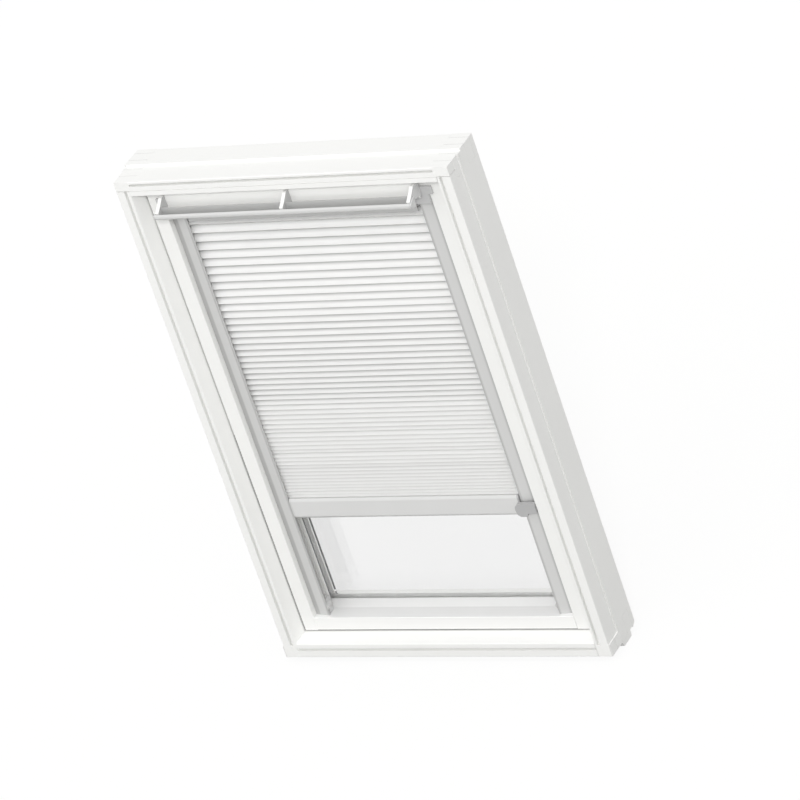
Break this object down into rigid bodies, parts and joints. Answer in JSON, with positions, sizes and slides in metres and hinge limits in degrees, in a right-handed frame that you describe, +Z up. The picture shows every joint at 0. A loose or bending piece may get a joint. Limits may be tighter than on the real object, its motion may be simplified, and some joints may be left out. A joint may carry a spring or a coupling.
{
  "type": "skylight window blind",
  "caption": "Centre-pivot roof window with a ventilation flap, a control bar and a motorised pleated blind that runs in side channels.",
  "frame": {"origin": "middle of the bounding box's lower face, with the window upright", "axes": "+X to the right seen from the room, +Y out to the sky, +Z up the slope of the roof"},
  "size_m": [0.78, 0.153, 1.19],
  "materials": {
    "white_lacquer": "satin white lacquer over wood",
    "white_plastic": "white moulded plastic",
    "aluminium": "light grey satin anodised",
    "bar_aluminium": "brighter satin anodised",
    "channel_grey": "matt grey anodised",
    "channel_grey_plastic": "plastic in the channels' grey",
    "grey_plastic": "matt mid grey",
    "seal_rubber": "black rubber",
    "steel": "zinc-plated steel",
    "glass": "clear",
    "filter_foam": "open-cell foam",
    "cord": "braided cord",
    "cloth": "white translucent pleated cloth"
  },
  "bodies": {
    "frame": {"frame_top": "white_lacquer", "frame_bottom": "white_lacquer", "frame_left": "white_lacquer", "frame_right": "white_lacquer", "frame_seal_upper": "seal_rubber", "frame_seal_lower": "seal_rubber", "pivot_housing_left": "steel", "pivot_housing_right": "steel", "lock_striker": "steel"},
    "sash": {"sash_top": "white_lacquer", "sash_bottom": "white_lacquer", "sash_left": "white_lacquer", "sash_right": "white_lacquer", "inner_pane": "glass", "outer_pane": "glass", "glass_spacer": "aluminium", "glazing_gasket": "seal_rubber", "glazing_cap_top": "aluminium", "glazing_cap_bottom": "aluminium", "glazing_cap_left": "aluminium", "glazing_cap_right": "aluminium", "pivot_pin_left": "steel", "pivot_pin_right": "steel", "lock_case": "steel", "air_filter_left": "filter_foam", "air_filter_right": "filter_foam", "flap_hinge_left": "steel", "flap_hinge_right": "steel", "head_casing": "aluminium", "head_bracket_left": "grey_plastic", "head_bracket_right": "grey_plastic", "cloth_clamp": "white_plastic", "side_channel_left": "channel_grey", "side_channel_right": "channel_grey", "channel_foot_left": "channel_grey_plastic", "channel_foot_right": "channel_grey_plastic", "tension_cord_left": "cord", "tension_cord_right": "cord", "pleated_cloth": "cloth"},
    "vent_flap": {"vent_flap": "white_lacquer", "flap_pin_left": "steel", "flap_pin_right": "steel", "bar_bracket_left": "white_plastic", "bar_bracket_middle": "white_plastic", "bar_bracket_right": "white_plastic", "control_bar": "bar_aluminium", "control_bar_cap_left": "grey_plastic", "control_bar_cap_right": "grey_plastic"},
    "lock_bolt": {"lock_bolt": "steel"},
    "bottom_bar": {"bottom_bar": "aluminium", "bar_end_left": "channel_grey_plastic", "drive_housing": "grey_plastic", "runner_left": "grey_plastic", "runner_right": "grey_plastic", "drive_motor": "steel"},
    "drive_shaft": {"drive_shaft": "steel", "cord_drum_left": "grey_plastic", "cord_drum_right": "grey_plastic"}
  },
  "joints": [
    {"name": "sash_pivot", "type": "hinge", "parent": "frame", "child": "sash", "pos_m": [0, 0.0285, 0.601], "axis": [1, 0, 0], "range_deg": [0, 160]},
    {"name": "flap_turn", "type": "hinge", "parent": "sash", "child": "vent_flap", "pos_m": [0, -0.027, 1.1115], "axis": [1, 0, 0], "range_deg": [0, 60]},
    {"name": "bolt_slide", "type": "slide", "parent": "sash", "child": "lock_bolt", "axis": [0, 0, 1], "range_m": [-0.006, 0]},
    {"name": "blind_slide", "type": "slide", "parent": "sash", "child": "bottom_bar", "axis": [0, 0, 1], "range_m": [-0.21, 0.6], "deforming": ["pleated_cloth"]},
    {"name": "drive_spin", "type": "hinge", "parent": "bottom_bar", "child": "drive_shaft", "pos_m": [0, 0.0085, 0.362], "axis": [1, 0, 0], "range_deg": [-5740, 2015]}
  ],
  "couplings": [
    {"joint": "bolt_slide", "follows": "flap_turn", "m_per_rad": -0.0057},
    {"joint": "drive_spin", "follows": "blind_slide", "rad_per_m": -166.67}
  ]
}
